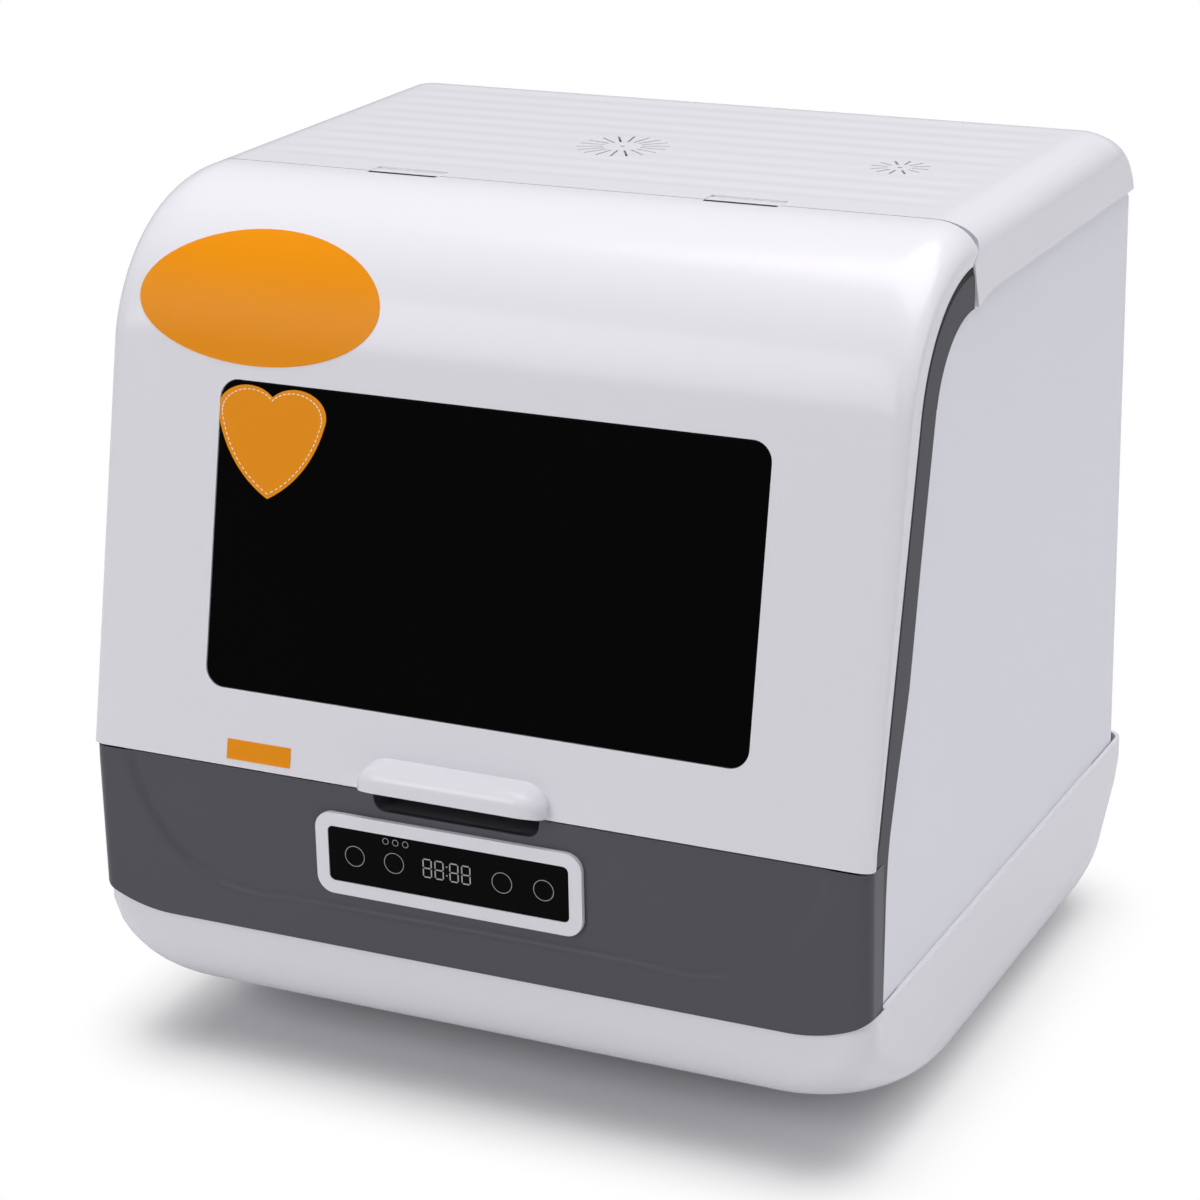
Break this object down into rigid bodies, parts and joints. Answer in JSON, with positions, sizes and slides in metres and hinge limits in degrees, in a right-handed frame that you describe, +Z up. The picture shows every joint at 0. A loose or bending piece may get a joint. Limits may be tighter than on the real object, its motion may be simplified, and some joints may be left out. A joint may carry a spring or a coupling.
{
  "type": "countertop dishwasher",
  "caption": "Compact white countertop dishwasher with a curved swing-up door, black window and grey front frame.",
  "frame": {"origin": "middle of the footprint, on the surface the feet stand on", "axes": "+Z up; the door and its handle face -Y; +X is to the right seen from the front"},
  "size_m": [0.42, 0.406, 0.44],
  "materials": {
    "white_gloss": "gloss",
    "white_matt": "satin",
    "panel_paint": "satin",
    "grey_plastic": "satin",
    "black_glass": "gloss",
    "black_plastic": "satin",
    "light_plastic": "satin",
    "blue_plastic": "satin",
    "circuit_board": "satin",
    "steel": "brushed",
    "motor_steel": "matt",
    "rubber_dark": "matt",
    "rubber_grey": "matt",
    "coated_wire": "satin",
    "orange_film": "satin"
  },
  "bodies": {
    "cabinet": {"base_tray": "white_gloss", "rubber_feet": "rubber_dark", "front_panel": "grey_plastic", "face_frame": "grey_plastic", "left_side_panel": "panel_paint", "right_side_panel": "panel_paint", "rear_panel": "panel_paint", "top_cover": "white_gloss", "wash_tub": "steel", "tub_seal": "rubber_grey", "control_bezel": "white_gloss", "control_glass": "black_glass", "display_module": "black_plastic", "control_board": "circuit_board", "power_board": "circuit_board", "sump_cup": "light_plastic", "filter_screen": "steel", "sump_hose": "rubber_dark", "heater_element": "steel", "wash_pump_volute": "light_plastic", "wash_pump_motor": "motor_steel", "suction_pipe": "rubber_dark", "drain_pump_body": "light_plastic", "drain_hose": "rubber_grey", "drain_spigot": "black_plastic", "supply_pipe": "light_plastic", "inlet_valve": "blue_plastic", "inlet_hose": "rubber_grey", "cable_gland": "black_plastic", "fan_frame": "black_plastic", "fan_gasket": "rubber_dark", "hinge_brackets": "steel", "door_switch": "black_plastic", "catch_housing": "light_plastic", "float_tube": "light_plastic", "cabinet_screws": "steel"},
    "door": {"door_shell": "white_gloss", "door_window": "black_glass", "window_seal": "rubber_dark", "door_liner": "white_matt", "latch_tongue": "white_matt", "hinge_pins": "steel", "oval_sticker": "orange_film", "heart_sticker": "orange_film", "strip_sticker": "orange_film"},
    "filter_cup": {"filter_cup": "light_plastic"},
    "wash_impeller": {"wash_impeller": "light_plastic"},
    "drain_impeller": {"drain_impeller": "black_plastic"},
    "fan_rotor": {"fan_rotor": "black_plastic"},
    "lower_arm": {"lower_spray_arm": "light_plastic"},
    "upper_arm": {"upper_spray_arm": "light_plastic"},
    "rack": {"rack_floor": "coated_wire", "rack_walls": "coated_wire"},
    "tines_left": {"tines_left": "coated_wire"},
    "tines_right": {"tines_right": "coated_wire"},
    "basket": {"cutlery_basket": "light_plastic"},
    "float": {"float_dome": "light_plastic"},
    "plunger": {"switch_plunger": "white_matt"},
    "roller": {"catch_roller": "light_plastic"}
  },
  "joints": [
    {"name": "door_hinge", "type": "hinge", "parent": "cabinet", "child": "door", "pos_m": [0, -0.052, 0.4355], "axis": [-1, 0, 0], "range_deg": [0, 75]},
    {"name": "filter_twist", "type": "hinge", "parent": "cabinet", "child": "filter_cup", "pos_m": [0, -0.091, 0.12], "axis": [0, 0, 1], "range_deg": [0, 90]},
    {"name": "wash_pump_spin", "type": "hinge", "parent": "cabinet", "child": "wash_impeller", "pos_m": [0, -0.006, 0.095], "axis": [0, 0, 1], "continuous": true},
    {"name": "drain_pump_spin", "type": "hinge", "parent": "cabinet", "child": "drain_impeller", "pos_m": [-0.092, -0.061, 0.052], "axis": [0, 1, 0], "continuous": true},
    {"name": "fan_spin", "type": "hinge", "parent": "cabinet", "child": "fan_rotor", "pos_m": [-0.016, 0.038, 0.424], "axis": [0, 0, 1], "continuous": true},
    {"name": "lower_arm_spin", "type": "hinge", "parent": "cabinet", "child": "lower_arm", "pos_m": [0, -0.006, 0.154], "axis": [0, 0, 1], "continuous": true},
    {"name": "upper_arm_spin", "type": "hinge", "parent": "cabinet", "child": "upper_arm", "pos_m": [0, 0.025, 0.38], "axis": [0, 0, 1], "continuous": true},
    {"name": "rack_slide", "type": "slide", "parent": "cabinet", "child": "rack", "axis": [0, -1, 0], "range_m": [0, 0.012]},
    {"name": "left_tines_fold", "type": "hinge", "parent": "rack", "child": "tines_left", "pos_m": [-0.062, -0.011, 0.207], "axis": [0, 1, 0], "range_deg": [0, 80]},
    {"name": "right_tines_fold", "type": "hinge", "parent": "rack", "child": "tines_right", "pos_m": [0.062, -0.011, 0.207], "axis": [0, -1, 0], "range_deg": [0, 80]},
    {"name": "basket_lift", "type": "slide", "parent": "rack", "child": "basket", "axis": [0, 0, 1], "range_m": [0, 0.06]},
    {"name": "float_rise", "type": "slide", "parent": "cabinet", "child": "float", "axis": [0, 0, 1], "range_m": [0, 0.012]},
    {"name": "switch_press", "type": "slide", "parent": "cabinet", "child": "plunger", "axis": [0, 1, 0], "range_m": [0, 0.002], "stiffness_N_per_m": 150, "springref_m": -0.001},
    {"name": "catch_press", "type": "slide", "parent": "cabinet", "child": "roller", "axis": [1, 0, 0], "range_m": [0, 0.003], "stiffness_N_per_m": 400}
  ]
}
